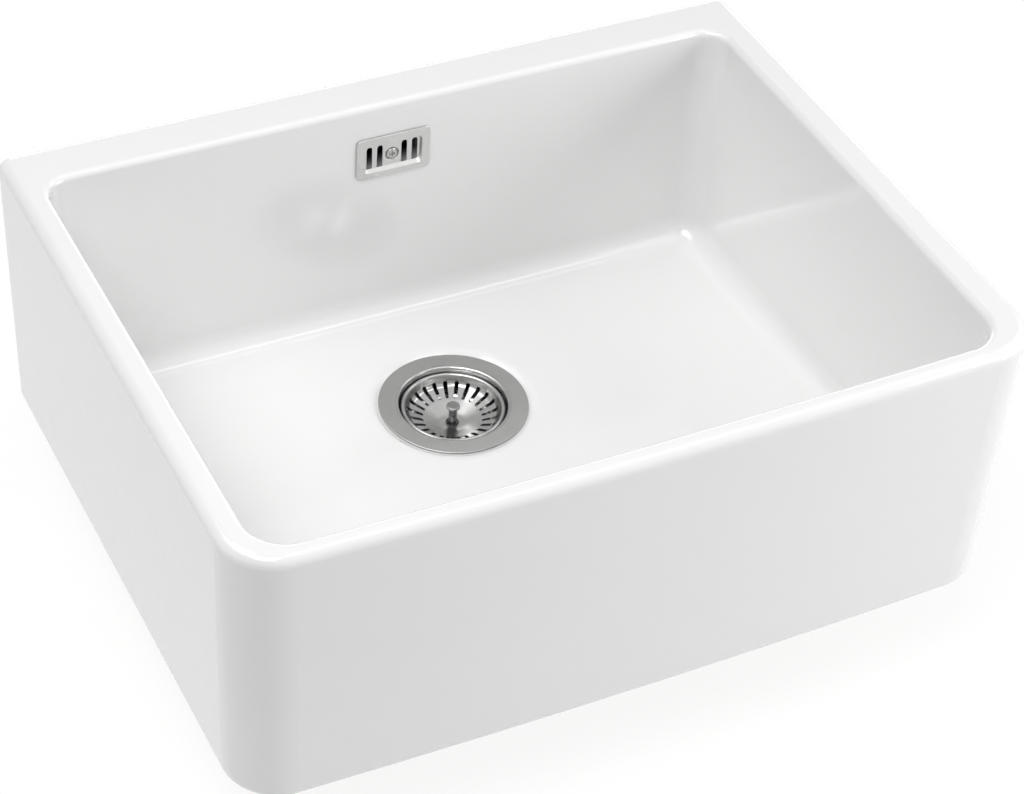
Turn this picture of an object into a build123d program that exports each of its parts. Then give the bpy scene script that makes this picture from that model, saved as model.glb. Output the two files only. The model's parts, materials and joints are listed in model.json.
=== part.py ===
from build123d import *
from math import atan2, cos, degrees, pi, radians, sin
import os

os.makedirs("parts", exist_ok=True)

# Glazed bowl, outside. Origin in the middle of the underside, X along the width, Y to the back.
bowl_width = 595.0
bowl_depth = 462.0
bowl_height = 224.0
front_bow = 5.0
side_lean = 5.0
front_lean = 4.0
front_corner_radius = 40.0
rear_corner_radius = 8.5
rim_outer_radius = 8.0
foot_radius = 8.0

# Glazed bowl, inside
left_wall = 21.0
right_wall = 27.5
front_wall = 16.5
back_wall = 41.0
floor_thickness = 28.8
basin_lean = 2.0
basin_front_bow = 3.0
basin_front_radius = 29.0
basin_rear_radius = 20.0
basin_floor_radius = 18.0
rim_inner_radius = 5.0

# Where the waste and the overflow sit in the bowl
fittings_x = -4.0
waste_from_back = 164.0
overflow_below_rim = 46.4

# Openings in the glazed bowl
waste_hole_margin = 3.8
waste_recess_depth = 2.6
waste_recess_margin = 1.0
waste_shoulder_width = 8.0
underside_recess_radius = 60.0
underside_recess_depth = 2.0
overflow_hole_width = 50.0
overflow_hole_height = 27.0
overflow_hole_radius = 5.0

# Strainer dish, pressed from sheet
flange_radius = 57.0
flange_thickness = 1.0
flange_edge_radius = 0.6
flange_seal_thickness = 0.8
flange_seal_margin = 1.0
seal_bore_margin = 0.5
sheet = 1.0
dish_lip_radius = 2.2
dish_mouth_radius = 41.2
dish_taper = 5.2
dish_depth = 24.6
dish_seat_width = 10.5
dish_seat_step = 1.0
dish_base_bend = 6.0
dimple_radius = 12.0
dimple_taper = 1.5
dimple_depth = 9.4
drain_hole_count = 8
drain_hole_margin = 2.05
drain_hole_reach = 5.0

# Lift-out basket
basket_sheet = 0.8
basket_clearance = 1.4
basket_rim_width = 3.2
basket_rim_drop = 4.4
basket_rim_fall = 0.4
basket_wall_run = 3.0
basket_corner_drop = 10.8
basket_corner_bend = 2.0
basket_flat_radius = 8.5
basket_flat_bend = 19.0
slot_count = 24
slot_length = 10.4
slot_corner = 0.7
slot_inner_width = 2.2
slot_outer_width = 3.2
slot_margin = 0.9
knob_radius = 5.2
knob_thickness = 2.4
knob_top_edge = 1.1
knob_under_edge = 0.8
knob_drop = 2.5
post_radius = 3.1
post_bend = 0.5
post_collar_radius = 5.0
post_collar_height = 0.8
stem_radius = 3.0
stem_thread_radius = 2.5
running_clearance = 0.05
washer_radius = 12.0
washer_thickness = 1.0
basket_seal_thickness = 3.0
basket_seal_overlap = 4.0
nut_across_flats = 8.0
nut_thickness = 4.0
stem_end_length = 0.6

# Moulded waste body under the bowl
body_seal_thickness = 3.0
body_flange_radius = 57.0
body_flange_thickness = 5.0
body_chamber_radius = 42.0
body_wall = 3.0
body_chamber_depth = 35.0
body_funnel_depth = 14.0
outlet_bore_radius = 20.0
outlet_thread_radius = 23.9
outlet_thread_length = 20.0
outlet_collar_thickness = 6.0
gusset_count = 8
gusset_thickness = 2.5
gusset_width = 9.0
gusset_height = 16.0
boss_radius = 8.0
boss_gap = 2.0
boss_foot = 2.0
boss_rib_count = 3
boss_rib_thickness = 2.5
boss_rib_drop = 10.0
insert_wall = 1.8
insert_length = 15.0
insert_clearance = 0.05
clamp_screw_radius = 3.0
clamp_head_radius = 8.0
clamp_head_height = 3.4
clamp_washer_thickness = 1.0
clamp_washer_margin = 0.6
screw_hole_clearance = 0.3
clamp_screw_length = 32.0

# Overflow plate, pressed from sheet
plate_width = 60.0
plate_height = 36.0
plate_corner_radius = 4.0
plate_sheet = 0.8
plate_seal_thickness = 0.8
plate_seal_inset = 1.0
pocket_width = 47.5
pocket_height = 25.1
pocket_drop = 0.9
pocket_depth = 2.6
pocket_side_slope = 1.2
pocket_ledge = 2.5
pocket_corner_radius = 4.0
plate_slot_width = 4.6
plate_slot_height = 19.5
plate_slot_places = (-18.6, -10.0, 10.0, 18.6)
plate_dimple_radius = 5.6
plate_dimple_clearance = 0.3
plate_dimple_depth = 1.6
overflow_screw_radius = 2.5
overflow_head_radius = 4.6
overflow_head_height = 2.2
overflow_screw_length = 56.0

# Overflow elbow behind the bowl
elbow_seal_thickness = 2.0
elbow_flange_thickness = 3.0
elbow_flange_margin = 5.0
elbow_wall = 2.4
elbow_depth = 27.0
elbow_edge_radius = 4.0
elbow_boss_radius = 5.5
elbow_boss_gap = 4.0
elbow_insert_length = 12.0
elbow_insert_wall = 1.4
elbow_insert_clear_end = 5.0
elbow_boss_sink = 1.0

# Ribbed hose and its screwed joints
hose_bore_radius = 9.5
hose_crest_radius = 12.0
hose_valley_radius = 10.4
hose_rib_pitch = 8.0
hose_cuff_radius = 11.5
hose_cuff_length = 13.0
hose_lip_radius = 13.2
hose_lip_thickness = 2.0
hose_bend_radius = 42.0
hose_behind_bowl = 19.0
hose_below_bowl = 24.0
spigot_radius = 13.5
elbow_spigot_length = 20.0
body_spigot_reach = 62.0
hose_washer_thickness = 1.5
hose_nut_radius = 17.5
hose_nut_sides = 12
hose_nut_overlap = 9.0
hose_nut_end_wall = 2.6
hose_nut_clearance = 0.2

# Places worked out from the sizes above
back_y = bowl_depth / 2 - 1.0
front_y = back_y - bowl_depth
half_width = bowl_width / 2
basin_left = left_wall - half_width
basin_right = half_width - right_wall
basin_back = back_y - back_wall
basin_front = front_y - front_bow + front_wall + basin_front_bow
waste_y = back_y - waste_from_back
overflow_z = bowl_height - overflow_below_rim
seat_z = floor_thickness - waste_recess_depth
flange_top_z = seat_z + flange_seal_thickness + flange_thickness
waste_axis = Axis((fittings_x, waste_y, 0), (0, 0, 1))
waste_axis_plane = Plane(origin=(fittings_x, waste_y, 0), x_dir=(1, 0, 0), z_dir=(0, -1, 0))
waste_hole_radius = dish_mouth_radius + waste_hole_margin
waste_recess_radius = flange_radius + waste_recess_margin


def waste_plane(height):
    """Level plane on the waste's axis at a height above the underside."""
    return Plane(origin=(fittings_x, waste_y, height))


def wall_plane(place):
    """Upright plane on the overflow's axis at a place along Y, facing the front."""
    return Plane(origin=(fittings_x, place, overflow_z), x_dir=(1, 0, 0), z_dir=(0, -1, 0))


def leaning_block(top, bottom, left, right, front, back, bow, side_run, front_run):
    """Block with a swelling front whose sides and front run in towards its bottom."""
    depth = top - bottom
    neutral = Plane.XY.offset(top)
    with BuildPart() as block:
        with BuildSketch(neutral):
            with BuildLine():
                Polyline((right, front), (right, back), (left, back), (left, front))
                ThreePointArc((left, front), ((left + right) / 2, front - bow), (right, front))
            make_face()
        extrude(amount=-depth)
        draft(block.faces().filter_by(Axis.X), neutral, -degrees(atan2(side_run, depth)))
        front_face = block.faces().filter_by(GeomType.PLANE, reverse=True)
        draft(front_face, neutral, -degrees(atan2(front_run, depth)))
    return block.part


def upright_edges(shape, front):
    """The two tall edges at the front, or at the back, of a block."""
    tall = shape.edges().filter_by(lambda edge: edge.bounding_box().size.Z > bowl_height / 2)
    return tall.sort_by(Axis.Y)[:2] if front else tall.sort_by(Axis.Y)[-2:]


# Space inside the basin, cut from the bowl
basin_top = bowl_height + 1
with BuildPart() as basin_space:
    add(
        leaning_block(
            basin_top,
            floor_thickness,
            basin_left,
            basin_right,
            basin_front,
            basin_back,
            basin_front_bow,
            basin_lean,
            basin_lean,
        )
    )
    fillet(upright_edges(basin_space, True), basin_front_radius)
    fillet(upright_edges(basin_space, False), basin_rear_radius)
    fillet(basin_space.faces().sort_by(Axis.Z)[0].edges(), basin_floor_radius)

# Glazed fireclay bowl
with BuildPart() as sink_bowl:
    add(
        leaning_block(
            bowl_height,
            0,
            -half_width,
            half_width,
            front_y,
            back_y,
            front_bow,
            side_lean,
            front_lean,
        )
    )
    fillet(upright_edges(sink_bowl, True), front_corner_radius)
    fillet(upright_edges(sink_bowl, False), rear_corner_radius)
    add(basin_space.part, mode=Mode.SUBTRACT)
    # Overflow opening through the back wall
    with BuildSketch(wall_plane(back_y + 1)):
        RectangleRounded(overflow_hole_width, overflow_hole_height, overflow_hole_radius)
    extrude(amount=back_wall + 2, mode=Mode.SUBTRACT)
    fillet(sink_bowl.faces().sort_by(Axis.Z)[-1].outer_wire().edges(), rim_outer_radius)
    fillet(sink_bowl.faces().sort_by(Axis.Z)[-1].inner_wires()[0].edges(), rim_inner_radius)
    fillet(sink_bowl.faces().sort_by(Axis.Z)[0].edges(), foot_radius)
    # Recess that the strainer's flange lies in, with a soft shoulder, and the hole below it
    shoulder_end = waste_recess_radius + waste_shoulder_width
    with BuildSketch(waste_axis_plane):
        with BuildLine():
            Polyline(
                (shoulder_end, floor_thickness),
                (shoulder_end, floor_thickness + 1),
                (0, floor_thickness + 1),
                (0, -1),
                (waste_hole_radius, -1),
                (waste_hole_radius, seat_z),
                (waste_recess_radius, seat_z),
            )
            TangentArc((shoulder_end, floor_thickness), (waste_recess_radius, seat_z), tangent=(-1, 0))
        make_face()
    revolve(axis=waste_axis, mode=Mode.SUBTRACT)
    with BuildSketch(waste_plane(0)):
        Circle(underside_recess_radius)
    extrude(amount=underside_recess_depth, mode=Mode.SUBTRACT)
sink_bowl.part.label = "sink_bowl"
export_step(sink_bowl.part, "parts/sink_bowl.step")

# Soft ring between the bowl and the strainer's flange
with BuildPart() as flange_seal:
    with BuildSketch(waste_plane(seat_z)):
        Circle(flange_radius - flange_seal_margin)
        Circle(waste_hole_radius + seal_bore_margin, mode=Mode.SUBTRACT)
    extrude(amount=flange_seal_thickness)
flange_seal.part.label = "flange_seal"
export_step(flange_seal.part, "parts/flange_seal.step")

# Strainer dish: flange, rolled lip, tapering wall, stepped base and central dimple
dish_seat_z = flange_top_z - dish_depth
dish_base_z = dish_seat_z - dish_seat_step
dimple_floor_z = dish_seat_z - dimple_depth
lip_start = dish_mouth_radius + dish_lip_radius
lip_end_z = flange_top_z - dish_lip_radius
dish_foot_radius = dish_mouth_radius - dish_taper
dish_seat_radius = dish_foot_radius - dish_seat_width
dish_base_radius = dish_seat_radius - dish_seat_step
dimple_floor_radius = dimple_radius - dimple_taper
drain_hole_circle = (dimple_radius + dish_base_radius) / 2
drain_hole_radius = (dish_base_radius - dimple_radius) / 2 - drain_hole_margin
with BuildPart() as strainer_dish:
    with BuildSketch(waste_axis_plane):
        with BuildLine():
            Line((flange_radius, flange_top_z), (lip_start, flange_top_z))
            TangentArc((lip_start, flange_top_z), (dish_mouth_radius, lip_end_z), tangent=(-1, 0))
            FilletPolyline(
                (dish_mouth_radius, lip_end_z),
                (dish_foot_radius, dish_seat_z),
                (dish_seat_radius, dish_seat_z),
                radius=dish_base_bend,
            )
            Polyline(
                (dish_seat_radius, dish_seat_z),
                (dish_base_radius, dish_base_z),
                (dimple_radius, dish_base_z),
                (dimple_floor_radius, dimple_floor_z),
                (0, dimple_floor_z),
            )
            offset(amount=sheet, side=Side.LEFT, kind=Kind.INTERSECTION)
        make_face()
    revolve(axis=waste_axis)
    with BuildSketch(waste_plane(dish_seat_z)):
        with PolarLocations(drain_hole_circle, drain_hole_count):
            Circle(drain_hole_radius)
    extrude(amount=-drain_hole_reach, mode=Mode.SUBTRACT)
    with BuildSketch(waste_plane(dimple_floor_z)):
        Circle(clamp_screw_radius + screw_hole_clearance)
    extrude(amount=-2 * sheet, mode=Mode.SUBTRACT)
    rim_edge = strainer_dish.edges().filter_by(GeomType.CIRCLE).group_by(SortBy.RADIUS)[-1].group_by(Axis.Z)[-1]
    fillet(rim_edge, flange_edge_radius)
strainer_dish.part.label = "strainer_dish"
export_step(strainer_dish.part, "parts/strainer_dish.step")

# Basket: flat centre under the post, slotted cone, short steep wall and rolled rim
seal_top_z = dish_seat_z + basket_seal_thickness
stem_shoulder_z = seal_top_z + washer_thickness
basket_centre_z = stem_shoulder_z + basket_sheet
basket_bore_radius = stem_radius + running_clearance
basket_rim_z = flange_top_z - basket_rim_drop
basket_rim_radius = dish_mouth_radius - basket_clearance
basket_wall_top_radius = basket_rim_radius - basket_rim_width
basket_wall_top_z = basket_rim_z + basket_rim_fall
basket_corner_radius = basket_wall_top_radius - basket_wall_run
basket_corner_z = flange_top_z - basket_corner_drop
slot_outer_radius = basket_corner_radius - slot_margin
slot_inner_radius = slot_outer_radius - slot_length
with BuildPart() as strainer_basket:
    with BuildSketch(waste_axis_plane):
        with BuildLine():
            wall_line = FilletPolyline(
                (basket_bore_radius, basket_centre_z),
                (basket_flat_radius, basket_centre_z),
                (basket_corner_radius, basket_corner_z),
                (basket_wall_top_radius, basket_wall_top_z),
                radius=[basket_flat_bend, basket_corner_bend],
            )
            TangentArc(
                (basket_wall_top_radius, basket_wall_top_z),
                (basket_rim_radius, basket_rim_z),
                tangent=wall_line % 1,
            )
            offset(amount=basket_sheet, side=Side.RIGHT)
        make_face()
    revolve(axis=waste_axis)
    with BuildSketch(waste_plane(basket_centre_z - 2 * basket_sheet)):
        with PolarLocations(0, slot_count):
            Polygon(
                (slot_inner_radius, slot_corner - slot_inner_width / 2),
                (slot_inner_radius + slot_corner, -slot_inner_width / 2),
                (slot_outer_radius - slot_corner, -slot_outer_width / 2),
                (slot_outer_radius, slot_corner - slot_outer_width / 2),
                (slot_outer_radius, slot_outer_width / 2 - slot_corner),
                (slot_outer_radius - slot_corner, slot_outer_width / 2),
                (slot_inner_radius + slot_corner, slot_inner_width / 2),
                (slot_inner_radius, slot_inner_width / 2 - slot_corner),
                align=None,
            )
    extrude(amount=basket_corner_z - basket_centre_z + 2 * basket_sheet, mode=Mode.SUBTRACT)
strainer_basket.part.label = "strainer_basket"
export_step(strainer_basket.part, "parts/strainer_basket.step")

# Turned knob with its post, collar and stem in one piece
stem_end_z = dish_seat_z - nut_thickness - stem_end_length
knob_top_z = flange_top_z - knob_drop
knob_under_z = knob_top_z - knob_thickness
with BuildPart() as basket_knob:
    with BuildSketch(waste_axis_plane):
        with BuildLine():
            Polyline((0, knob_top_z), (0, stem_end_z), (stem_thread_radius, stem_end_z))
            Polyline(
                (stem_thread_radius, stem_end_z),
                (stem_thread_radius, stem_shoulder_z),
                (stem_radius, stem_shoulder_z),
                (stem_radius, basket_centre_z),
                (post_collar_radius, basket_centre_z),
                (post_collar_radius, basket_centre_z + post_collar_height),
                (post_radius, basket_centre_z + post_collar_height),
            )
            FilletPolyline(
                (post_radius, basket_centre_z + post_collar_height),
                (post_radius, knob_under_z),
                (knob_radius, knob_under_z),
                (knob_radius, knob_top_z),
                (0, knob_top_z),
                radius=[post_bend, knob_under_edge, knob_top_edge],
            )
        make_face()
    revolve(axis=waste_axis)
basket_knob.part.label = "basket_knob"
export_step(basket_knob.part, "parts/basket_knob.step")

# Backing washer, rubber seal and nut on the stem below the basket
with BuildPart() as seal_washer:
    with BuildSketch(waste_plane(seal_top_z)):
        Circle(washer_radius)
        Circle(stem_thread_radius + running_clearance, mode=Mode.SUBTRACT)
    extrude(amount=washer_thickness)
seal_washer.part.label = "seal_washer"
export_step(seal_washer.part, "parts/seal_washer.step")

basket_seal_radius = dish_seat_radius + basket_seal_overlap
with BuildPart() as basket_seal:
    with BuildSketch(waste_plane(dish_seat_z)):
        Circle(basket_seal_radius)
        Circle(stem_thread_radius + running_clearance, mode=Mode.SUBTRACT)
    extrude(amount=basket_seal_thickness)
    upper_edge = basket_seal.edges().group_by(Axis.Z)[-1].sort_by(SortBy.RADIUS)[-1]
    chamfer(upper_edge, basket_seal_thickness * 0.6, basket_seal_thickness * 0.3)
basket_seal.part.label = "basket_seal"
export_step(basket_seal.part, "parts/basket_seal.step")

with BuildPart() as seal_nut:
    with BuildSketch(waste_plane(dish_seat_z)):
        RegularPolygon(nut_across_flats / 2, 6, major_radius=False)
        Circle(stem_thread_radius + running_clearance, mode=Mode.SUBTRACT)
    extrude(amount=-nut_thickness)
seal_nut.part.label = "seal_nut"
export_step(seal_nut.part, "parts/seal_nut.step")

# Rubber ring between the bowl's underside and the waste body
body_top_z = underside_recess_depth - body_seal_thickness
with BuildPart() as body_seal:
    with BuildSketch(waste_plane(body_top_z)):
        Circle(body_flange_radius)
        Circle(waste_hole_radius + seal_bore_margin, mode=Mode.SUBTRACT)
    extrude(amount=body_seal_thickness)
body_seal.part.label = "body_seal"
export_step(body_seal.part, "parts/body_seal.step")

# Moulded waste body: chamber, funnel and threaded outlet, with gussets, screw boss and overflow spigot
chamber_floor_z = body_top_z - body_chamber_depth
funnel_end_z = chamber_floor_z - body_funnel_depth
outlet_end_z = funnel_end_z - outlet_collar_thickness - outlet_thread_length
boss_top_z = dimple_floor_z - sheet - boss_gap
boss_bottom_z = chamber_floor_z - boss_foot
hose_level = -hose_below_bowl
flange_under_z = body_top_z - body_flange_thickness
insert_radius = clamp_screw_radius + insert_clearance + insert_wall
spigot_end_y = waste_y + body_spigot_reach
with BuildPart() as waste_body:
    with BuildSketch(waste_axis_plane):
        with BuildLine():
            Polyline(
                (0, body_top_z),
                (body_flange_radius, body_top_z),
                (body_flange_radius, flange_under_z),
                (body_chamber_radius + body_wall, flange_under_z),
                (body_chamber_radius + body_wall, chamber_floor_z),
                (outlet_thread_radius + body_wall, funnel_end_z),
                (outlet_thread_radius + body_wall, funnel_end_z - outlet_collar_thickness),
                (outlet_thread_radius, funnel_end_z - outlet_collar_thickness),
                (outlet_thread_radius, outlet_end_z),
                (0, outlet_end_z),
                close=True,
            )
        make_face()
    revolve(axis=waste_axis)
    with BuildSketch(Plane(origin=(fittings_x, waste_y, hose_level), x_dir=(1, 0, 0), z_dir=(0, 1, 0))):
        Circle(spigot_radius)
    extrude(amount=body_spigot_reach)
    with BuildSketch(waste_axis_plane):
        with BuildLine():
            Polyline(
                (body_chamber_radius + body_wall / 2, flange_under_z),
                (body_chamber_radius + body_wall + gusset_width, flange_under_z),
                (body_chamber_radius + body_wall, flange_under_z - gusset_height),
                (body_chamber_radius + body_wall / 2, flange_under_z - gusset_height),
                close=True,
            )
        make_face()
    gusset = extrude(amount=gusset_thickness / 2, both=True, mode=Mode.PRIVATE)
    for index in range(gusset_count):
        add(gusset.rotate(waste_axis, (index + 0.5) * 360 / gusset_count))
    # Hollow chamber, funnel and outlet
    with BuildSketch(waste_axis_plane):
        with BuildLine():
            Polyline(
                (0, body_top_z),
                (body_chamber_radius, body_top_z),
                (body_chamber_radius, chamber_floor_z),
                (outlet_bore_radius, funnel_end_z),
                (outlet_bore_radius, outlet_end_z),
                (0, outlet_end_z),
                close=True,
            )
        make_face()
    revolve(axis=waste_axis, mode=Mode.SUBTRACT)
    with BuildSketch(Plane(origin=(fittings_x, waste_y, hose_level), x_dir=(1, 0, 0), z_dir=(0, 1, 0))):
        Circle(hose_bore_radius)
    extrude(amount=body_spigot_reach, mode=Mode.SUBTRACT)
    # Boss for the clamp screw on three ribs
    rib_top_z = boss_top_z - boss_rib_drop
    with BuildSketch(waste_plane(boss_bottom_z)):
        Circle(boss_radius)
    extrude(amount=boss_top_z - boss_bottom_z)
    rib_length = body_chamber_radius + body_wall / 2 - boss_radius / 2
    with BuildSketch(waste_plane(chamber_floor_z)):
        for index in range(boss_rib_count):
            angle = -90 + (index * 360 / boss_rib_count)
            reach = boss_radius / 2 + rib_length / 2
            with Locations((reach * cos(radians(angle)), reach * sin(radians(angle)))):
                Rectangle(rib_length, boss_rib_thickness, rotation=angle)
    extrude(amount=rib_top_z - chamber_floor_z)
    with BuildSketch(waste_plane(boss_top_z)):
        Circle(insert_radius + insert_clearance)
    extrude(amount=-insert_length, mode=Mode.SUBTRACT)
    with BuildSketch(waste_plane(boss_top_z)):
        Circle(clamp_screw_radius + screw_hole_clearance)
    extrude(amount=boss_bottom_z - boss_top_z - 1, mode=Mode.SUBTRACT)
waste_body.part.label = "waste_body"
export_step(waste_body.part, "parts/waste_body.step")

with BuildPart() as clamp_insert:
    with BuildSketch(waste_plane(boss_top_z)):
        Circle(insert_radius)
        Circle(clamp_screw_radius + insert_clearance, mode=Mode.SUBTRACT)
    extrude(amount=-insert_length)
clamp_insert.part.label = "clamp_insert"
export_step(clamp_insert.part, "parts/clamp_insert.step")

with BuildPart() as clamp_washer:
    with BuildSketch(waste_plane(dimple_floor_z)):
        Circle(clamp_head_radius + clamp_washer_margin)
        Circle(clamp_screw_radius + screw_hole_clearance, mode=Mode.SUBTRACT)
    extrude(amount=clamp_washer_thickness)
clamp_washer.part.label = "clamp_washer"
export_step(clamp_washer.part, "parts/clamp_washer.step")


def pan_head_screw(head_seat, head_radius, head_height, shank_radius, length, recess_radius):
    """Pan-head screw with a cross recess. Its shank runs against the seat plane's normal."""
    with BuildPart() as screw:
        with BuildSketch(head_seat):
            Circle(head_radius)
        extrude(amount=head_height)
        fillet(screw.edges().sort_by(Axis(head_seat.origin, head_seat.z_dir))[-1], head_height * 0.45)
        with BuildSketch(head_seat):
            Circle(shank_radius)
        extrude(amount=-length)
        with BuildSketch(head_seat.offset(head_height)):
            Rectangle(2 * recess_radius, recess_radius * 0.45)
            Rectangle(recess_radius * 0.45, 2 * recess_radius)
        extrude(amount=-head_height * 0.6, mode=Mode.SUBTRACT)
    return screw


clamp_screw = pan_head_screw(
    waste_plane(dimple_floor_z + clamp_washer_thickness),
    clamp_head_radius,
    clamp_head_height,
    clamp_screw_radius,
    clamp_screw_length,
    clamp_head_radius * 0.5,
)
clamp_screw.part.label = "clamp_screw"
export_step(clamp_screw.part, "parts/clamp_screw.step")

# Overflow plate and the soft ring behind it, on the inner face of the back wall
plate_back_y = basin_back - plate_seal_thickness
plate_front_y = plate_back_y - plate_sheet
with BuildPart() as plate_seal:
    with BuildSketch(wall_plane(basin_back)):
        RectangleRounded(plate_width - plate_seal_inset, plate_height - plate_seal_inset, plate_corner_radius)
        RectangleRounded(overflow_hole_width, overflow_hole_height, overflow_hole_radius, mode=Mode.SUBTRACT)
    extrude(amount=plate_seal_thickness)
plate_seal.part.label = "plate_seal"
export_step(plate_seal.part, "parts/plate_seal.step")

pocket_middle = -pocket_drop
pocket_floor_width = pocket_width - 2 * pocket_side_slope
pocket_floor_height = pocket_height - pocket_side_slope - pocket_ledge
pocket_floor_middle = pocket_middle + (pocket_ledge - pocket_side_slope) / 2
pocket_floor_bottom = pocket_floor_middle - pocket_floor_height / 2
pocket_floor_y = plate_front_y + pocket_depth
slot_straight = plate_slot_height - plate_slot_width / 2
screw_middle = pocket_floor_bottom + plate_slot_height / 2
screw_axis_z = overflow_z + screw_middle


def pocket_solid(front, back, growth):
    """Tapering pocket of the overflow plate between two places along Y, grown by a wall."""
    with BuildPart() as pocket:
        with BuildSketch(wall_plane(front)):
            with Locations((0, pocket_middle)):
                RectangleRounded(pocket_width + 2 * growth, pocket_height + 2 * growth, pocket_corner_radius + growth)
        with BuildSketch(wall_plane(back)):
            with Locations((0, pocket_floor_middle)):
                RectangleRounded(
                    pocket_floor_width + 2 * growth,
                    pocket_floor_height + 2 * growth,
                    pocket_corner_radius - pocket_side_slope + growth,
                )
        loft(ruled=True)
    return pocket.part


def dimple_solid(mouth_y, floor_y, growth):
    """Cone of the plate's dimple between two places along Y, grown by a wall."""
    with BuildPart() as dimple:
        with BuildSketch(wall_plane(mouth_y)):
            with Locations((0, screw_middle)):
                Circle(plate_dimple_radius + growth)
        with BuildSketch(wall_plane(floor_y)):
            with Locations((0, screw_middle)):
                Circle(overflow_head_radius + plate_dimple_clearance + growth)
        loft(ruled=True)
    return dimple.part


dimple_floor_y = pocket_floor_y + plate_dimple_depth
pocket_outside = pocket_solid(plate_front_y, pocket_floor_y + plate_sheet, plate_sheet * 0.8)
pocket_inside = pocket_solid(plate_front_y, pocket_floor_y, 0)
dimple_outside = dimple_solid(pocket_floor_y, dimple_floor_y + plate_sheet, plate_sheet)
dimple_inside = dimple_solid(pocket_floor_y, dimple_floor_y, 0)
with BuildPart() as overflow_plate:
    with BuildSketch(wall_plane(plate_back_y)):
        RectangleRounded(plate_width, plate_height, plate_corner_radius)
    extrude(amount=plate_sheet)
    fillet(overflow_plate.faces().sort_by(Axis.Y)[0].edges(), plate_sheet * 0.5)
    add(pocket_outside)
    add(pocket_inside, mode=Mode.SUBTRACT)
    # Slots with a round top, running down to the bright ledge
    with BuildSketch(wall_plane(pocket_floor_y + 2 * plate_sheet)):
        for place in plate_slot_places:
            with Locations((place, pocket_floor_bottom + slot_straight / 2)):
                Rectangle(plate_slot_width, slot_straight)
            with Locations((place, pocket_floor_bottom + slot_straight)):
                Circle(plate_slot_width / 2)
    extrude(amount=3 * plate_sheet, mode=Mode.SUBTRACT)
    # Dimple that the screw's head sits in
    add(dimple_outside)
    add(dimple_inside, mode=Mode.SUBTRACT)
    with BuildSketch(wall_plane(dimple_floor_y + 2 * plate_sheet)):
        with Locations((0, screw_middle)):
            Circle(overflow_screw_radius + screw_hole_clearance)
    extrude(amount=3 * plate_sheet, mode=Mode.SUBTRACT)
overflow_plate.part.label = "overflow_plate"
export_step(overflow_plate.part, "parts/overflow_plate.step")

screw_seat = Plane(origin=(fittings_x, dimple_floor_y, screw_axis_z), x_dir=(1, 0, 0), z_dir=(0, -1, 0))
overflow_screw = pan_head_screw(
    screw_seat,
    overflow_head_radius,
    overflow_head_height,
    overflow_screw_radius,
    overflow_screw_length,
    overflow_head_radius * 0.55,
)
overflow_screw.part.label = "overflow_screw"
export_step(overflow_screw.part, "parts/overflow_screw.step")

# Rubber ring and moulded elbow behind the back wall
elbow_flange_y = back_y + elbow_seal_thickness
elbow_back_y = elbow_flange_y + elbow_flange_thickness + elbow_depth
elbow_spigot_y = elbow_back_y - spigot_radius
elbow_width = overflow_hole_width + 2 * elbow_wall
elbow_height = overflow_hole_height + 2 * elbow_wall
elbow_bottom_z = overflow_z - elbow_height / 2
spigot_end_z = elbow_bottom_z - elbow_spigot_length
flange_corner = overflow_hole_radius + elbow_flange_margin
elbow_insert_radius = overflow_screw_radius + insert_clearance + elbow_insert_wall
elbow_boss_start_y = elbow_flange_y + elbow_boss_gap
with BuildPart() as elbow_seal:
    with BuildSketch(wall_plane(elbow_flange_y)):
        RectangleRounded(
            overflow_hole_width + 2 * elbow_flange_margin,
            overflow_hole_height + 2 * elbow_flange_margin,
            flange_corner,
        )
        RectangleRounded(overflow_hole_width, overflow_hole_height, overflow_hole_radius, mode=Mode.SUBTRACT)
    extrude(amount=elbow_seal_thickness)
elbow_seal.part.label = "elbow_seal"
export_step(elbow_seal.part, "parts/elbow_seal.step")

with BuildPart() as overflow_elbow:
    with BuildSketch(wall_plane(elbow_flange_y + elbow_flange_thickness)):
        RectangleRounded(
            overflow_hole_width + 2 * elbow_flange_margin,
            overflow_hole_height + 2 * elbow_flange_margin,
            flange_corner,
        )
    extrude(amount=elbow_flange_thickness)
    with BuildSketch(wall_plane(elbow_back_y)):
        RectangleRounded(elbow_width, elbow_height, overflow_hole_radius + elbow_wall)
    extrude(amount=elbow_depth)
    fillet(overflow_elbow.faces().sort_by(Axis.Y)[-1].edges(), elbow_edge_radius)
    spigot_plane = Plane(origin=(fittings_x, elbow_spigot_y, overflow_z), x_dir=(1, 0, 0), z_dir=(0, 0, -1))
    with BuildSketch(spigot_plane):
        Circle(spigot_radius)
    extrude(amount=overflow_z - spigot_end_z)
    with BuildSketch(wall_plane(elbow_back_y - elbow_wall)):
        RectangleRounded(overflow_hole_width, overflow_hole_height, overflow_hole_radius)
    extrude(amount=elbow_back_y - elbow_wall - elbow_flange_y, mode=Mode.SUBTRACT)
    with BuildSketch(spigot_plane):
        Circle(hose_bore_radius)
    extrude(amount=overflow_z - spigot_end_z, mode=Mode.SUBTRACT)
    # Boss for the plate's screw
    boss_end_y = elbow_back_y - elbow_boss_sink
    boss_plane = Plane(origin=(fittings_x, boss_end_y, screw_axis_z), x_dir=(1, 0, 0), z_dir=(0, -1, 0))
    with BuildSketch(boss_plane):
        Circle(elbow_boss_radius)
    extrude(amount=boss_end_y - elbow_boss_start_y)
    insert_plane = Plane(origin=(fittings_x, elbow_boss_start_y, screw_axis_z), x_dir=(1, 0, 0), z_dir=(0, 1, 0))
    with BuildSketch(insert_plane):
        Circle(elbow_insert_radius + insert_clearance)
    extrude(amount=elbow_insert_length, mode=Mode.SUBTRACT)
    with BuildSketch(insert_plane):
        Circle(overflow_screw_radius + screw_hole_clearance)
    extrude(amount=elbow_insert_length + elbow_insert_clear_end, mode=Mode.SUBTRACT)
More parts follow.
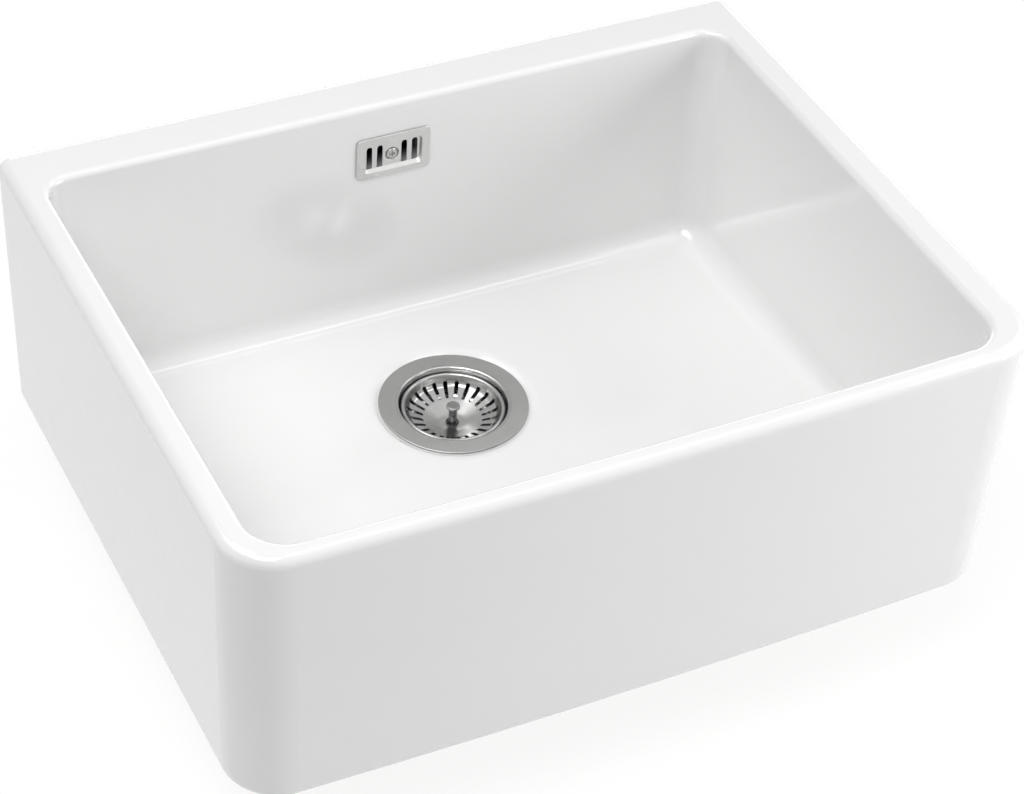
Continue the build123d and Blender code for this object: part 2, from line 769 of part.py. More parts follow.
overflow_elbow.part.label = "overflow_elbow"
export_step(overflow_elbow.part, "parts/overflow_elbow.step")

with BuildPart() as elbow_insert:
    with BuildSketch(insert_plane):
        Circle(elbow_insert_radius)
        Circle(overflow_screw_radius + insert_clearance, mode=Mode.SUBTRACT)
    extrude(amount=elbow_insert_length)
elbow_insert.part.label = "elbow_insert"
export_step(elbow_insert.part, "parts/elbow_insert.step")

# Screwed joint at each end of the hose. The end plane lies on the spigot's end, facing the hose.
elbow_end = Plane(origin=(fittings_x, elbow_spigot_y, spigot_end_z), x_dir=(1, 0, 0), z_dir=(0, 0, -1))
body_end = Plane(origin=(fittings_x, spigot_end_y, hose_level), x_dir=(1, 0, 0), z_dir=(0, 1, 0))
lip_stack = hose_washer_thickness + hose_lip_thickness


def hose_nut(end_plane):
    """Twelve-sided nut over the spigot's thread, closed in round the hose behind its lip."""
    with BuildPart() as nut:
        with BuildSketch(end_plane.offset(-hose_nut_overlap)):
            RegularPolygon(hose_nut_radius, hose_nut_sides)
            Circle(spigot_radius + hose_nut_clearance, mode=Mode.SUBTRACT)
        extrude(amount=hose_nut_overlap + lip_stack)
        with BuildSketch(end_plane.offset(lip_stack)):
            RegularPolygon(hose_nut_radius, hose_nut_sides)
            Circle(hose_cuff_radius + hose_nut_clearance, mode=Mode.SUBTRACT)
        extrude(amount=hose_nut_end_wall)
    return nut


def hose_washer(end_plane):
    """Rubber washer between a spigot's end and the hose's lip."""
    with BuildPart() as washer:
        with BuildSketch(end_plane):
            Circle(hose_lip_radius)
            Circle(hose_bore_radius, mode=Mode.SUBTRACT)
        extrude(amount=hose_washer_thickness)
    return washer


for name, end_plane in (("upper", elbow_end), ("lower", body_end)):
    nut = hose_nut(end_plane)
    nut.part.label = name + "_hose_nut"
    export_step(nut.part, "parts/" + name + "_hose_nut.step")
    washer = hose_washer(end_plane)
    washer.part.label = name + "_hose_washer"
    export_step(washer.part, "parts/" + name + "_hose_washer.step")

# Ribbed hose: down behind the bowl, round a quarter bend and forward below it
bend_centre_y = elbow_spigot_y - hose_bend_radius
bend_centre_z = hose_level + hose_bend_radius
hose_top_z = spigot_end_z - hose_washer_thickness
hose_front_y = spigot_end_y + hose_washer_thickness
drop_length = hose_top_z - bend_centre_z
bend_length = hose_bend_radius * pi / 2
level_length = bend_centre_y - hose_front_y
hose_length = drop_length + bend_length + level_length


def hose_plane(distance):
    """Plane square to the hose at a distance along its middle line from the elbow's end."""
    if distance <= drop_length:
        return Plane((fittings_x, elbow_spigot_y, hose_top_z - distance), (1, 0, 0), (0, 0, -1))
    if distance <= drop_length + bend_length:
        turn = (distance - drop_length) / hose_bend_radius
        place = (
            fittings_x,
            bend_centre_y + hose_bend_radius * cos(turn),
            bend_centre_z - hose_bend_radius * sin(turn),
        )
        return Plane(place, (1, 0, 0), (0, -sin(turn), -cos(turn)))
    along = distance - drop_length - bend_length
    return Plane((fittings_x, bend_centre_y - along, hose_level), (1, 0, 0), (0, -1, 0))


def hose_ring(distance, radius):
    """Circle of the hose's wall at a distance along it."""
    with BuildSketch(hose_plane(distance)) as ring:
        Circle(radius)
    return ring.sketch


rib_run = hose_length - 2 * hose_cuff_length
rib_count = round(rib_run / hose_rib_pitch)
rib_step = rib_run / rib_count
wall_rings = [hose_ring(0, hose_cuff_radius), hose_ring(hose_cuff_length, hose_cuff_radius)]
for index in range(rib_count):
    rib_start = hose_cuff_length + index * rib_step
    wall_rings.append(hose_ring(rib_start + 0.12 * rib_step, hose_valley_radius))
    wall_rings.append(hose_ring(rib_start + 0.32 * rib_step, hose_crest_radius))
    wall_rings.append(hose_ring(rib_start + 0.68 * rib_step, hose_crest_radius))
    wall_rings.append(hose_ring(rib_start + 0.88 * rib_step, hose_valley_radius))
wall_rings.append(hose_ring(hose_length - hose_cuff_length, hose_cuff_radius))
wall_rings.append(hose_ring(hose_length, hose_cuff_radius))
with BuildPart() as overflow_hose:
    loft(sections=wall_rings, ruled=True)
    for lip_plane in (hose_plane(0), hose_plane(hose_length - hose_lip_thickness)):
        with BuildSketch(lip_plane):
            Circle(hose_lip_radius)
        extrude(amount=hose_lip_thickness)
    with BuildSketch(hose_plane(0)):
        Circle(hose_bore_radius)
    with BuildLine() as hose_line:
        Line((fittings_x, elbow_spigot_y, hose_top_z), (fittings_x, elbow_spigot_y, bend_centre_z))
        TangentArc(
            (fittings_x, elbow_spigot_y, bend_centre_z),
            (fittings_x, bend_centre_y, hose_level),
            tangent=(0, 0, -1),
        )
        Line((fittings_x, bend_centre_y, hose_level), (fittings_x, hose_front_y, hose_level))
    sweep(mode=Mode.SUBTRACT)
overflow_hose.part.label = "overflow_hose"
export_step(overflow_hose.part, "parts/overflow_hose.step")
print("overflow hose", round(hose_length), "mm long with", rib_count, "ribs")
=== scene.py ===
"""White fireclay butler sink with a basket strainer and an overflow, dressed and lit for a studio picture."""
import json
import logging
import math
from dataclasses import dataclass, field
from enum import Enum
from typing import ClassVar

import bmesh
import bpy
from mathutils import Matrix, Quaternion, Vector


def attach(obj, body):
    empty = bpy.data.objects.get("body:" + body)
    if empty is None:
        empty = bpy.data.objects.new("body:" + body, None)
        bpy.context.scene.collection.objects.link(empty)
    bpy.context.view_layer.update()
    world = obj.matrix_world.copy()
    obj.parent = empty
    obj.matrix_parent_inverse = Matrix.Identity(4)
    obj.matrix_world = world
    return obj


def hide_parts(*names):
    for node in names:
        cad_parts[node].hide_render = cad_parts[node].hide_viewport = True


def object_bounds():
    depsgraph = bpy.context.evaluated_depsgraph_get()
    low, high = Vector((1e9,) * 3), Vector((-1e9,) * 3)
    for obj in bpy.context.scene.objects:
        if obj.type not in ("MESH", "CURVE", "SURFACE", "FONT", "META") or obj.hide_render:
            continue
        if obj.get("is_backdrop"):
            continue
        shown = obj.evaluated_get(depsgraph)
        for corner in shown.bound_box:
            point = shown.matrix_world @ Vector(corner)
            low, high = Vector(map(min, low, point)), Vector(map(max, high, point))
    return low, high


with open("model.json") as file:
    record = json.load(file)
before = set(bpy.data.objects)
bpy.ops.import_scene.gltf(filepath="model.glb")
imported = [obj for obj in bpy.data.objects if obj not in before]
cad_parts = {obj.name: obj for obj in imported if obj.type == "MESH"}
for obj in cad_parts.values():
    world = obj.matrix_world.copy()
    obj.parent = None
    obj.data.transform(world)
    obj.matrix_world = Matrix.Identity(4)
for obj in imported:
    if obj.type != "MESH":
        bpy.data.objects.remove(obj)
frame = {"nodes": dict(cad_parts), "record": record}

LOG = logging.getLogger("butler_sink")
Socket = bpy.types.NodeSocket
Colour = tuple[float, float, float]
Grid = list[list[list[bmesh.types.BMVert]]]

# The waste's upright axis at height 0, and the middle of the overflow hole where it opens in the back wall.
WASTE_CENTRE = (-0.004, 0.066, 0.0)
OVERFLOW_MOUTH = (-0.004, 0.188, 0.1776)
FULL_TURN = 2 * math.pi


class Effect(Enum):
    """Surface effects that several finishes share."""

    RING_PLACE = "ring_place"
    CLOUDING = "clouding"
    TURNED_LINES = "turned_lines"
    FINE_GRAIN = "fine_grain"
    SOFT_EDGE = "soft_edge"
    HAIRLINES = "hairlines"
    SCREW_THREAD = "screw_thread"


class Graph:
    """Lays nodes in a shader tree and joins them."""

    HOLLOW_SAMPLES = 8

    def __init__(self, tree: bpy.types.NodeTree) -> None:
        """Keeps the tree that the nodes go into."""
        self.tree = tree

    def add(self, kind: str, sockets: dict | None = None, **settings: object) -> bpy.types.Node:
        """Adds one node.

        Args:
            kind: Blender's name for the node type.
            sockets: Input name or number to a value, or to the socket that feeds it.
            settings: Properties of the node itself.

        Returns:
            The new node.
        """
        node = self.tree.nodes.new(kind)
        for name, value in settings.items():
            setattr(node, name, value)
        self.fill(node, sockets or {})
        return node

    def fill(self, node: bpy.types.Node, sockets: dict) -> None:
        """Feeds inputs of a node, by their names or numbers."""
        for name, value in sockets.items():
            self.feed(node.inputs[name], value)

    def feed(self, socket: Socket, value: object) -> None:
        """Links a socket to another one, or sets its plain value.

        Args:
            socket: Input to fill.
            value: Socket that feeds it, or its value.
        """
        if isinstance(value, bpy.types.NodeSocket):
            self.tree.links.new(value, socket)
        elif isinstance(value, tuple) and socket.type == "RGBA":
            socket.default_value = (*value, 1.0)
        else:
            socket.default_value = value

    def sum(self, operation: str, *values: object, clamp: bool = False) -> Socket:
        """Result of a Math node's operation on numbers or sockets, kept between 0 and 1 if clamped."""
        sockets = dict(enumerate(values))
        return self.add("ShaderNodeMath", sockets, operation=operation, use_clamp=clamp).outputs[0]

    def product(self, first: object, *others: object) -> Socket:
        """Product of values.

        Args:
            first: Number or socket to start from.
            others: Numbers or sockets that it is multiplied by.

        Returns:
            The socket that holds the result.
        """
        for other in others:
            first = self.sum("MULTIPLY", first, other)
        return first

    def span(self, value: Socket, low: float, high: float, first: object = 0.0, last: object = 1.0) -> Socket:
        """Maps a value that runs from low to high onto first to last, clamped and smoothed."""
        sockets = {0: value, 1: low, 2: high, 3: first, 4: last}
        return self.add("ShaderNodeMapRange", sockets, interpolation_type="SMOOTHSTEP").outputs[0]

    def blend(self, share: object, first: object, second: object) -> Socket:
        """Colour between two colours, by the share of the second."""
        sockets = {0: share, 6: first, 7: second}
        return self.add("ShaderNodeMix", sockets, data_type="RGBA").outputs[2]

    def mix(self, share: object, first: object, second: object) -> Socket:
        """Value between two values, by the share of the second."""
        return self.add("ShaderNodeMix", {0: share, 2: first, 3: second}).outputs[0]

    def bump(self, height: Socket, distance: float, normal: Socket | None = None) -> Socket:
        """Normal bent by a height.

        Args:
            height: Height map, 0 to 1.
            distance: What a height of 1 stands for, in metres.
            normal: Normal to start from, if not the surface's own.

        Returns:
            The bent normal.
        """
        sockets = {"Height": height, "Distance": distance}
        if normal is not None:
            sockets["Normal"] = normal
        return self.add("ShaderNodeBump", sockets).outputs["Normal"]

    def open_air(self, reach: float) -> Socket:
        """0 deep inside a hollow of the piece, 1 where nothing of the piece stands over the surface."""
        settings = {"samples": self.HOLLOW_SAMPLES, "only_local": True}
        return self.add("ShaderNodeAmbientOcclusion", {"Distance": reach}, **settings).outputs["AO"]

    def place(self) -> Socket:
        """Object coordinates, which are the part's own."""
        return self.add("ShaderNodeTexCoord").outputs["Object"]

    def normal(self) -> Socket:
        """Normal of the surface, before any bump."""
        return self.add("ShaderNodeNewGeometry").outputs["Normal"]

    def split(self, vector: Socket) -> list[Socket]:
        """X, Y and Z of a vector."""
        return list(self.add("ShaderNodeSeparateXYZ", {0: vector}).outputs)


class EffectLibrary:
    """Builds each shared effect once as a node group and places it in materials.

    The ranges are the values that a noise mostly keeps to, or where an effect starts and ends.
    """

    CLOUD_RANGE = (0.3, 0.7)
    CLOUD_ROUGHNESS = 0.55
    RING_DETAIL = 2.0
    RING_ROUGHNESS = 0.7
    GRAIN_RANGE = (0.25, 0.75)
    GRAIN_DETAIL = 4.0
    GRAIN_ROUGHNESS = 0.6
    EDGE_SAMPLES = 4
    EDGE_RANGE = (1.0, 0.85)
    THREAD_FLANK = (0.12, 0.88)
    HAIR_SWIRL_SCALE = 14.0
    HAIR_SWIRL = (0.02, 0.02, 0.02)
    HAIR_WIDTH = 0.02
    HAIR_PATCH_SCALE = 60.0
    HAIR_PATCH_RANGE = (0.5, 0.6)

    def __init__(self) -> None:
        """Starts with no group built."""
        self.made: dict[Effect, bpy.types.NodeTree] = {}

    def use(self, graph: Graph, effect: Effect, **values: object) -> dict[str, Socket]:
        """Places a shared effect in a material.

        Args:
            graph: Graph of the material.
            effect: Which effect.
            values: Values or sockets for the group's inputs.

        Returns:
            The group's outputs by name.
        """
        if effect not in self.made:
            self.made[effect] = getattr(self, "_make_" + effect.value)()
        node = graph.add("ShaderNodeGroup", node_tree=self.made[effect])
        graph.fill(node, values)
        return {socket.name: socket for socket in node.outputs}

    def cloud(self, graph: Graph, **values: object) -> Socket:
        """Places the slow variation between two values."""
        return self.use(graph, Effect.CLOUDING, **values)["Value"]

    def grain(self, graph: Graph, scale: float) -> Socket:
        """Places the fine even texture."""
        return self.use(graph, Effect.FINE_GRAIN, Scale=scale)["Height"]

    @staticmethod
    def _open(
        effect: Effect, inputs: dict[str, float | tuple], outputs: dict[str, str]
    ) -> tuple[Graph, dict[str, Socket], bpy.types.Node]:
        """Opens a new group with its named sockets.

        Args:
            effect: Effect that the group holds.
            inputs: Input names and their usual values.
            outputs: Output names and their socket kinds.

        Returns:
            The group's graph, its inputs by name and its output node.
        """
        tree = bpy.data.node_groups.new(effect.value, "ShaderNodeTree")
        for name, value in inputs.items():
            kind = "NodeSocketVector" if isinstance(value, tuple) else "NodeSocketFloat"
            tree.interface.new_socket(name, in_out="INPUT", socket_type=kind).default_value = value
        for name, kind in outputs.items():
            tree.interface.new_socket(name, in_out="OUTPUT", socket_type=kind)
        graph = Graph(tree)
        source = graph.add("NodeGroupInput")
        return graph, {socket.name: socket for socket in source.outputs}, graph.add("NodeGroupOutput")

    def _make_ring_place(self) -> bpy.types.NodeTree:
        """Radius, angle and height about an upright axis.

        Returns:
            The group's tree.
        """
        outputs = dict.fromkeys(("Radius", "Angle", "Height"), "NodeSocketFloat")
        graph, given, out = self._open(Effect.RING_PLACE, {"Centre": (0.0, 0.0, 0.0)}, outputs)
        sockets = {0: graph.place(), 1: given["Centre"]}
        offset = graph.add("ShaderNodeVectorMath", sockets, operation="SUBTRACT").outputs[0]
        across, along, up = graph.split(offset)
        square = graph.sum("ADD", graph.product(across, across), graph.product(along, along))
        turn = graph.sum("ARCTAN2", along, across)
        graph.fill(out, {"Radius": graph.sum("SQRT", square), "Angle": turn, "Height": up})
        return graph.tree

    def _make_clouding(self) -> bpy.types.NodeTree:
        """Slow variation between two values.

        Returns:
            The group's tree.
        """
        inputs = {"Scale": 20.0, "Detail": 3.0, "Low": 0.0, "High": 1.0}
        graph, given, out = self._open(Effect.CLOUDING, inputs, {"Value": "NodeSocketFloat"})
        sockets = {"Vector": graph.place(), "Scale": given["Scale"], "Detail": given["Detail"]}
        noise = graph.add("ShaderNodeTexNoise", {**sockets, "Roughness": self.CLOUD_ROUGHNESS}).outputs[0]
        graph.fill(out, {"Value": graph.span(noise, *self.CLOUD_RANGE, given["Low"], given["High"])})
        return graph.tree

    def _make_turned_lines(self) -> bpy.types.NodeTree:
        """Fine rings left by turning or circular brushing about an upright axis.

        Returns:
            The group's tree.
        """
        inputs = {"Centre": (0.0, 0.0, 0.0), "Density": 4000.0, "Drift": 3.0}
        graph, given, out = self._open(Effect.TURNED_LINES, inputs, {"Streak": "NodeSocketFloat"})
        ring = self.use(graph, Effect.RING_PLACE, Centre=given["Centre"])
        across = graph.product(ring["Radius"], given["Density"])
        turn = graph.product(ring["Angle"], given["Drift"])
        up = graph.product(ring["Height"], given["Density"])
        vector = graph.add("ShaderNodeCombineXYZ", {0: across, 1: turn, 2: up}).outputs[0]
        sockets = {"Vector": vector, "Scale": 1.0, "Detail": self.RING_DETAIL}
        noise = graph.add("ShaderNodeTexNoise", {**sockets, "Roughness": self.RING_ROUGHNESS}).outputs[0]
        graph.fill(out, {"Streak": noise})
        return graph.tree

    def _make_fine_grain(self) -> bpy.types.NodeTree:
        """Fine even texture of a moulded or cast skin.

        Returns:
            The group's tree.
        """
        graph, given, out = self._open(Effect.FINE_GRAIN, {"Scale": 900.0}, {"Height": "NodeSocketFloat"})
        sockets = {"Vector": graph.place(), "Scale": given["Scale"], "Detail": self.GRAIN_DETAIL}
        noise = graph.add("ShaderNodeTexNoise", {**sockets, "Roughness": self.GRAIN_ROUGHNESS}).outputs[0]
        graph.fill(out, {"Height": graph.span(noise, *self.GRAIN_RANGE)})
        return graph.tree

    def _make_soft_edge(self) -> bpy.types.NodeTree:
        """Normal of gently broken edges, and a mask of where they are.

        Returns:
            The group's tree.
        """
        outputs = {"Normal": "NodeSocketVector", "Mask": "NodeSocketFloat"}
        graph, given, out = self._open(Effect.SOFT_EDGE, {"Radius": 0.0004}, outputs)
        radius = {"Radius": given["Radius"]}
        rounded = graph.add("ShaderNodeBevel", radius, samples=self.EDGE_SAMPLES).outputs[0]
        sockets = {0: rounded, 1: graph.normal()}
        agreement = graph.add("ShaderNodeVectorMath", sockets, operation="DOT_PRODUCT").outputs["Value"]
        graph.fill(out, {"Normal": rounded, "Mask": graph.span(agreement, *self.EDGE_RANGE)})
        return graph.tree

    def _make_screw_thread(self) -> bpy.types.NodeTree:
        """Ridges that climb round an upright axis, kept between two radii and two heights.

        Returns:
            The group's tree.
        """
        limits = {"Inside": 0.0, "Outside": 1.0, "Low": -1.0, "High": 1.0}
        inputs = {"Centre": (0.0, 0.0, 0.0), "Pitch": 0.002, **limits}
        graph, given, out = self._open(Effect.SCREW_THREAD, inputs, {"Height": "NodeSocketFloat"})
        ring = self.use(graph, Effect.RING_PLACE, Centre=given["Centre"])
        climb = graph.sum("DIVIDE", ring["Height"], given["Pitch"])
        phase = graph.sum("FRACT", graph.sum("ADD", climb, graph.sum("DIVIDE", ring["Angle"], FULL_TURN)))
        ridge = graph.product(graph.sum("ABSOLUTE", graph.sum("SUBTRACT", phase, 0.5)), 2.0)
        kept = graph.product(
            graph.sum("GREATER_THAN", ring["Radius"], given["Inside"]),
            graph.sum("LESS_THAN", ring["Radius"], given["Outside"]),
            graph.sum("LESS_THAN", ring["Height"], given["High"]),
            graph.sum("GREATER_THAN", ring["Height"], given["Low"]),
        )
        groove = graph.product(kept, graph.span(ridge, *self.THREAD_FLANK))
        graph.fill(out, {"Height": graph.sum("SUBTRACT", 1.0, groove)})
        return graph.tree

    def _make_hairlines(self) -> bpy.types.NodeTree:
        """Sparse fine scratches from wiping and handling.

        Returns:
            The group's tree.
        """
        inputs = {"Scale": 160.0, "Amount": 0.5}
        graph, given, out = self._open(Effect.HAIRLINES, inputs, {"Mask": "NodeSocketFloat"})
        noise = {"Vector": graph.place(), "Scale": self.HAIR_SWIRL_SCALE}
        swirl = graph.add("ShaderNodeTexNoise", noise).outputs[1]
        sockets = {0: swirl, 1: self.HAIR_SWIRL, 2: graph.place()}
        bent = graph.add("ShaderNodeVectorMath", sockets, operation="MULTIPLY_ADD").outputs[0]
        cells = {"Vector": bent, "Scale": given["Scale"]}
        edge = graph.add("ShaderNodeTexVoronoi", cells, feature="DISTANCE_TO_EDGE").outputs[0]
        line = graph.span(edge, 0.0, self.HAIR_WIDTH, 1.0, 0.0)
        patches = {"Vector": graph.place(), "Scale": self.HAIR_PATCH_SCALE}
        patch = graph.span(graph.add("ShaderNodeTexNoise", patches).outputs[0], *self.HAIR_PATCH_RANGE)
        graph.fill(out, {"Mask": graph.product(line, patch, given["Amount"])})
        return graph.tree


@dataclass(frozen=True)
class ThreadRun:
    """Stretch of screw thread on an upright spigot."""

    centre: tuple[float, float, float] = WASTE_CENTRE
    pitch: float = 0.00231
    depth: float = 0.0011
    inside: float = 0.0232
    outside: float = 0.0245
    low: float = -0.0745
    high: float = -0.0575

    def values(self) -> dict[str, object]:
        """Inputs of the thread's node group."""
        reach = {"Inside": self.inside, "Outside": self.outside, "Low": self.low, "High": self.high}
        return {"Centre": self.centre, "Pitch": self.pitch, **reach}


def open_material(name: str) -> tuple[bpy.types.Material, Graph, bpy.types.Node]:
    """Starts a material with one Principled shader.

    Args:
        name: Name of the material.

    Returns:
        The material, its graph and its shader node.
    """
    material = bpy.data.materials.new(name)
    material.use_nodes = True
    return material, Graph(material.node_tree), material.node_tree.nodes["Principled BSDF"]


def about(middle: float, change: float) -> tuple[float, float]:
    """Lowest and highest of a value that changes by a share of itself."""
    return middle * (1 - change), middle * (1 + change)


def shaded(colour: Colour, share: float) -> Colour:
    """Colour times a share, kept at or below 1."""
    return tuple(min(1.0, share * part) for part in colour)


@dataclass(frozen=True)
class Glaze:
    """Thick gloss glaze on fireclay, left off the underside where the bowl stood in the kiln.

    Painted shade darkens the inside of the hole that leads to the overflow towards black with depth.
    """

    white: Colour = (0.86, 0.86, 0.858)
    thin_white: Colour = (0.835, 0.835, 0.832)
    thinning: dict[str, float] = field(default_factory=lambda: {"Scale": 5.0, "Low": 0.0, "High": 0.35})
    gloss: float = 0.09
    gloss_change: float = 0.2
    gloss_scale: float = 12.0
    peel_scale: float = 45.0
    peel_depth: float = 0.00006
    coat_roughness: float = 0.1
    index: float = 1.45
    shine: float = 0.25
    clay: Colour = (0.66, 0.58, 0.47)
    clay_shade: float = 0.78
    clay_stain: dict[str, float] = field(default_factory=lambda: {"Scale": 35.0, "Low": 0.0, "High": 0.5})
    clay_roughness: float = 0.9
    clay_grain_scale: float = 1400.0
    clay_grain_depth: float = 0.0003
    foot_edge: float = 0.0012
    foot_fade: float = 0.0012
    foot_wander: float = 0.0006
    foot_wander_scale: float = 90.0
    downward: tuple[float, float] = (0.3, -0.3)
    hole: tuple[float, float, float] = OVERFLOW_MOUTH
    hole_half: tuple[float, float] = (0.0256, 0.0141)
    hole_depths: tuple[float, float] = (0.001, 0.025)
    hole_painted_shade: Colour = (0.012, 0.012, 0.012)

    def build(self, effects: EffectLibrary) -> bpy.types.Material:
        """Makes the material.

        Args:
            effects: Shared effects.

        Returns:
            The material.
        """
        material, graph, shader = open_material("gloss_white_glaze")
        # hollow is the mask of the painted shade inside the overflow hole.
        bare, hollow = self._bare(graph, effects), self._hole_shade_mask(graph)
        thin = effects.cloud(graph, **self.thinning)
        glazed = graph.blend(thin, self.white, self.thin_white)
        stain = effects.cloud(graph, **self.clay_stain)
        body = graph.blend(stain, self.clay, shaded(self.clay, self.clay_shade))
        outside = graph.blend(bare, glazed, body)
        low, high = about(self.gloss, self.gloss_change)
        sheen = effects.cloud(graph, Scale=self.gloss_scale, Low=low, High=high)
        peel = effects.cloud(graph, Scale=self.peel_scale, Detail=1.0)
        grain = effects.grain(graph, self.clay_grain_scale)
        waved = graph.bump(peel, self.peel_depth)
        graph.fill(shader, {
            # Painted shade: the colour goes near black deep inside the overflow hole.
            "Base Color": graph.blend(hollow, outside, self.hole_painted_shade),
            "Roughness": graph.mix(bare, sheen, self.clay_roughness),
            "Normal": graph.bump(graph.product(grain, bare), self.clay_grain_depth, waved),
            "Coat Weight": graph.sum("SUBTRACT", 1.0, graph.sum("MAXIMUM", bare, hollow)),
            "Coat Roughness": self.coat_roughness,
            "IOR": self.index,
            "Specular IOR Level": self.shine,
        })
        return material

    def _bare(self, graph: Graph, effects: EffectLibrary) -> Socket:
        """Mask of the unglazed foot, which ends in a ragged line.

        Args:
            graph: Graph of the material.
            effects: Shared effects.

        Returns:
            1 on the bare clay and 0 on the glaze.
        """
        wander = {"Scale": self.foot_wander_scale, "Low": -self.foot_wander, "High": self.foot_wander}
        ragged = effects.cloud(graph, **wander)
        height = graph.sum("ADD", graph.split(graph.place())[2], ragged)
        low = graph.span(height, self.foot_edge + self.foot_fade, self.foot_edge)
        return graph.product(low, graph.span(graph.split(graph.normal())[2], *self.downward))

    def _hole_shade_mask(self, graph: Graph) -> Socket:
        """Mask of the painted shade inside the overflow hole.

        Args:
            graph: Graph of the material.

        Returns:
            0 at the mouth to 1 deep inside, and 0 elsewhere.
        """
        across, along, up = graph.split(graph.place())
        beside = graph.sum("COMPARE", across, self.hole[0], self.hole_half[0])
        level = graph.sum("COMPARE", up, self.hole[2], self.hole_half[1])
        near, far = (self.hole[1] + depth for depth in self.hole_depths)
        return graph.product(beside, level, graph.span(along, near, far))


@dataclass(frozen=True)
class Steel:
    """Stainless steel with rings from brushing or turning about an upright axis.

    An inner disc may have a roughness of its own, and below a height the colour may be blotched with black as
    painted shade and painted dark reflection.
    """

    name: str
    tone: float = 0.44
    roughness: float = 0.34
    ring_depth: float = 0.000005
    ring_density: float = 5200.0
    ring_drift: float = 2.5
    ring_contrast: tuple[float, float] = (0.3, 0.7)
    ring_shades: tuple[float, float] = (0.96, 1.03)
    warmth: float = 0.01
    sheen_contrast: tuple[float, float] = (0.25, 0.75)
    sheen_change: float = 0.2
    cloud_scale: float = 70.0
    cloud_change: float = 0.06
    scratch_scale: float = 240.0
    scratch_amount: float = 0.6
    scratch_roughness: float = 0.15
    edge: float = 0.0003
    centre: tuple[float, float, float] = WASTE_CENTRE
    inner_radius: float | None = None
    inner_roughness: float = 0.13
    inner_fade: float = 0.0008
    painted_shade_below: float | None = None
    painted_shade_fade: float = 0.0003
    painted_shade_scale: float = 420.0
    painted_shade_range: tuple[float, float] = (0.15, 0.45)

    def build(self, effects: EffectLibrary) -> bpy.types.Material:
        """Makes the material.

        Args:
            effects: Shared effects.

        Returns:
            The material.
        """
        material, graph, shader = open_material(self.name)
        lines = {"Centre": self.centre, "Density": self.ring_density, "Drift": self.ring_drift}
        streak = effects.use(graph, Effect.TURNED_LINES, **lines)["Streak"]
        colour = self._colour(graph, effects, streak)
        change = {"Scale": self.cloud_scale, "Low": -self.cloud_change, "High": self.cloud_change}
        cloud = effects.cloud(graph, **change)
        hairs = {"Scale": self.scratch_scale, "Amount": self.scratch_amount}
        scratch = effects.use(graph, Effect.HAIRLINES, **hairs)["Mask"]
        spread = graph.span(streak, *self.sheen_contrast, *about(self.roughness, self.sheen_change))
        worn = graph.sum("ADD", spread, graph.product(cloud, self.roughness))
        satin = graph.sum("ADD", worn, graph.product(scratch, self.scratch_roughness))
        if self.inner_radius is not None:
            radius = effects.use(graph, Effect.RING_PLACE, Centre=self.centre)["Radius"]
            outer = graph.span(radius, self.inner_radius, self.inner_radius + self.inner_fade)
            satin = graph.mix(outer, self.inner_roughness, satin)
            streak = graph.product(streak, outer)
        soft = effects.use(graph, Effect.SOFT_EDGE, Radius=self.edge)["Normal"]
        normal = graph.bump(streak, self.ring_depth, soft)
        graph.fill(shader, {"Base Color": colour, "Roughness": satin, "Normal": normal, "Metallic": 1.0})
        return material

    def _colour(self, graph: Graph, effects: EffectLibrary, streak: Socket) -> Socket:
        """Tone of the rings, blotched with black below a given height as painted shade and painted dark
        reflection.

        Args:
            graph: Graph of the material.
            effects: Shared effects.
            streak: Height of the rings, 0 to 1.

        Returns:
            The socket that holds the colour.
        """
        tones = (self.tone * shade for shade in self.ring_shades)
        dark, light = ((tone, tone, tone - self.tone * self.warmth) for tone in tones)
        colour = graph.blend(graph.span(streak, *self.ring_contrast), dark, light)
        if self.painted_shade_below is None:
            return colour
        height = effects.use(graph, Effect.RING_PLACE, Centre=self.centre)["Height"]
        # dull is the mask of the painted shade and painted dark reflection: 1 below the height, where the
        # colour turns to black blotches.
        dull = graph.span(height, self.painted_shade_below + self.painted_shade_fade, self.painted_shade_below)
        low, high = self.painted_shade_range
        patch = effects.cloud(graph, Scale=self.painted_shade_scale, Low=low, High=high)
        return graph.blend(dull, colour, graph.blend(patch, (0.0, 0.0, 0.0), colour))


@dataclass(frozen=True)
class Brass:
    """Turned brass of the threaded inserts."""

    warm: Colour = (0.78, 0.60, 0.30)
    dull: Colour = (0.60, 0.44, 0.20)
    roughness: tuple[float, float] = (0.25, 0.42)
    cloud_scale: float = 180.0
    grain_scale: float = 2600.0
    grain_depth: float = 0.00001

    def build(self, effects: EffectLibrary) -> bpy.types.Material:
        """Makes the material.

        Args:
            effects: Shared effects.

        Returns:
            The material.
        """
        material, graph, shader = open_material("turned_brass")
        cloud = effects.cloud(graph, Scale=self.cloud_scale)
        grain = effects.grain(graph, self.grain_scale)
        graph.fill(shader, {
            "Base Color": graph.blend(cloud, self.warm, self.dull),
            "Roughness": graph.span(cloud, 0.0, 1.0, *self.roughness),
            "Normal": graph.bump(grain, self.grain_depth),
            "Metallic": 1.0,
        })
        return material


